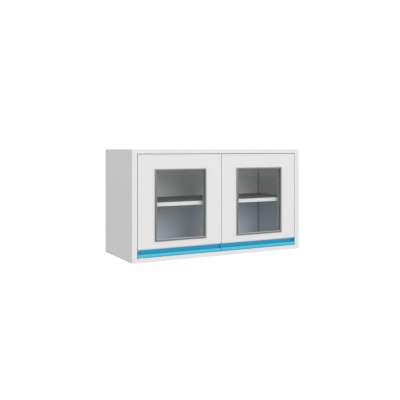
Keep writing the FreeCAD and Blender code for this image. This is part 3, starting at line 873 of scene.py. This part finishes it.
def bore(mesh, centres, low_z, high_z):
    """Bores upright screw holes between the flat faces at two levels."""
    levels = (low_z, high_z)
    flat = [
        face for face in mesh.faces
        if any(set(face.edges) <= set(edges_at(mesh, z=level)) for level in levels)
    ]
    bmesh.ops.delete(mesh, geom=flat, context="FACES_ONLY")
    for x, y in centres:
        rims = []
        for level in levels:
            ring = bmesh.ops.create_circle(mesh, segments=24, radius=HOLE_RADIUS)["verts"]
            bmesh.ops.translate(mesh, verts=ring, vec=(x, y, level))
            rims += {edge for corner in ring for edge in corner.link_edges}
        bmesh.ops.bridge_loops(mesh, edges=rims)
    for level in levels:
        bmesh.ops.triangle_fill(mesh, use_beauty=True, edges=edges_at(mesh, z=level))
    bmesh.ops.recalc_face_normals(mesh, faces=mesh.faces)


# %% The plate with its screw holes
def screw_plate(middle):
    """A plate with round corners, a soft lower rim and two holes."""
    low = Vector((middle - PLATE_HALF, catch_low.y, PLATE_LOW))
    high = Vector((middle + PLATE_HALF, catch_high.y, catch_high.z))
    middle_y = (low.y + high.y) / 2
    mesh = box_between(low, high)
    upright = [edge for edge in mesh.edges if edge.verts[0].co.z != edge.verts[1].co.z]
    soften(mesh, upright, PLATE_CORNER, segments=6)
    soften(mesh, edges_at(mesh, z=low.z), RIM_ROUND, segments=2)
    bore(mesh, [(middle - HOLE_REACH, middle_y), (middle + HOLE_REACH, middle_y)], low.z, high.z)
    return mesh


# %% The box with its pocket
def magnet_box(middle):
    """A box with soft edges, and a pocket in its front that fits the pole plates."""
    low = Vector((middle - BOX_HALF, catch_low.y, catch_low.z))
    high = Vector((middle + BOX_HALF, catch_high.y, PLATE_LOW))
    half_up = (low.z + high.z) / 2
    mesh = box_between(low, high)
    bare = [edge for edge in mesh.edges if min(corner.co.z for corner in edge.verts) < half_up]
    soften(mesh, bare, BOX_ROUND, segments=3)
    front = min(mesh.faces, key=lambda face: face.calc_center_median().y)
    step_in(mesh, front, RIM_ROUND, 0)
    for corner in front.verts:
        corner.co.x = middle + (POCKET_HALF if corner.co.x > middle else -POCKET_HALF)
        corner.co.z = poles_high.z if corner.co.z > half_up else poles_low.z
    step_in(mesh, front, 0, poles_high.y - low.y)
    bmesh.ops.recalc_face_normals(mesh, faces=mesh.faces)
    return mesh


# %% Mould both catches
catch_parts = [make(side * CATCH_MIDDLE) for side in DOORS.values() for make in (screw_plate, magnet_box)]
catches = piece_from(joined(catch_parts), "moulded_catches", "cabinet", nylon, "nylon", "catch_housings")
smooth_round(catches)

# %% [markdown]
# ## The stop bracket
# The rubber buffers sit on a bracket that is folded from steel sheet. A fold is never sharp: its inside has
# the radius of the tool, and its outside is rounder by the thickness of the sheet. A flat sheet could be
# thickened by Solidify, but the rounds would then be hard to set. So the bracket is drawn as an L of six
# points and pulled along the cabinet. Then the fold and the free corners are bevelled, and the screw holes
# are bored as in the catches.

# %% Measures of the bracket
stop_low, stop_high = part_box("door_stop_bracket")
screws_low, screws_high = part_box("stop_screws")
STOP_SHEET = 0.002
FOLD_INSIDE = 0.001
FOLD_OUTSIDE = FOLD_INSIDE + STOP_SHEET
FREE_CORNER = 0.005
SCREW_HEAD = 0.0036  # radius
SCREW_X = screws_high.x - SCREW_HEAD
SCREW_Y = (screws_low.y + screws_high.y) / 2
print("stop bracket is", round(1000 * (stop_high.x - stop_low.x)), "mm long")


# %% Fold the bracket
def folded_stop():
    """An L-shaped bar with a round fold, round free corners and two screw holes in its foot."""
    front, rear = stop_low.y, stop_high.y
    bottom, top = stop_low.z, stop_high.z
    foot_top = bottom + STOP_SHEET
    upright_rear = front + STOP_SHEET
    section = [
        (front, bottom), (rear, bottom), (rear, foot_top),
        (upright_rear, foot_top), (upright_rear, top), (front, top),
    ]
    mesh = bmesh.new()
    mesh.faces.new([mesh.verts.new((stop_low.x, y, z)) for y, z in section])
    pull_out(mesh, stop_high.x - stop_low.x)
    soften(mesh, edges_at(mesh, y=front, z=bottom), FOLD_OUTSIDE, segments=6)
    soften(mesh, edges_at(mesh, y=upright_rear, z=foot_top), FOLD_INSIDE, segments=6)
    for end in (stop_low.x, stop_high.x):
        soften(mesh, edges_at(mesh, x=end, z=top), FREE_CORNER, segments=6)
        soften(mesh, edges_at(mesh, x=end, y=rear), FREE_CORNER, segments=6)
    bore(mesh, [(-SCREW_X, SCREW_Y), (SCREW_X, SCREW_Y)], bottom, foot_top)
    return mesh


stop_bracket = piece_from(
    folded_stop(), "folded_stop_bracket", "cabinet", white_paint, "white_paint", "door_stop_bracket")
smooth_round(stop_bracket)

# %% [markdown]
# ## Painted shade in the rear corners
# Where the back panel meets the walls, a dark grey fillet is laid in the corner as painted shade. It shows
# as a thin dark line through the windows. A tube would stand proud of the corner, so it is a fillet: a
# small triangle in the corner whose long side is pulled in, as a finger does when it smooths a bead.

# %% Measures of the painted shade fillets
LINER_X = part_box("right_side_liner")[0].x
LINER_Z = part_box("top_liner")[0].z
SHADE_FILLET_LEG = 0.0026
SHADE_FILLET_CUTS = 5
HOLLOWNESS = 0.9  # how much the long side is pulled in
print("sealant runs", round(4 * (LINER_X + LINER_Z), 2), "m round the back panel")


# %% One fillet
def shade_fillet(length):
    """A fillet along X, in the corner between the floor Z = 0 and the wall Y = 0."""
    mesh = bmesh.new()
    corner = mesh.verts.new((-length / 2, 0, 0))
    on_floor = mesh.verts.new((-length / 2, -SHADE_FILLET_LEG, 0))
    on_wall = mesh.verts.new((-length / 2, 0, SHADE_FILLET_LEG))
    mesh.faces.new((corner, on_floor, on_wall))
    slope = mesh.edges.get((on_floor, on_wall))
    cut = bmesh.ops.subdivide_edges(mesh, edges=[slope], cuts=SHADE_FILLET_CUTS)["geom_inner"]
    for point in [part for part in cut if isinstance(part, bmesh.types.BMVert)]:
        across = point.co.z / SHADE_FILLET_LEG
        pulled_in = HOLLOWNESS * SHADE_FILLET_LEG * across * (1 - across)
        point.co.y += pulled_in
        point.co.z -= pulled_in
    pull_out(mesh, length)
    return mesh


# %% Lay the painted shade fillets along all four sides
fillets = []
for quarter in range(4):
    reach, half_length = (LINER_X, LINER_Z) if quarter % 2 else (LINER_Z, LINER_X)
    turn = Matrix.Rotation(math.radians(90 * quarter), 3, "Y")
    fillet = shade_fillet(2 * half_length)
    bmesh.ops.translate(fillet, verts=fillet.verts, vec=(0, back_face, -reach))
    bmesh.ops.rotate(fillet, verts=fillet.verts, matrix=turn)
    fillets.append(fillet)
piece_from(joined(fillets), "painted_corner_shade_fillet", "cabinet", painted_corner_shade, "black_rubber")
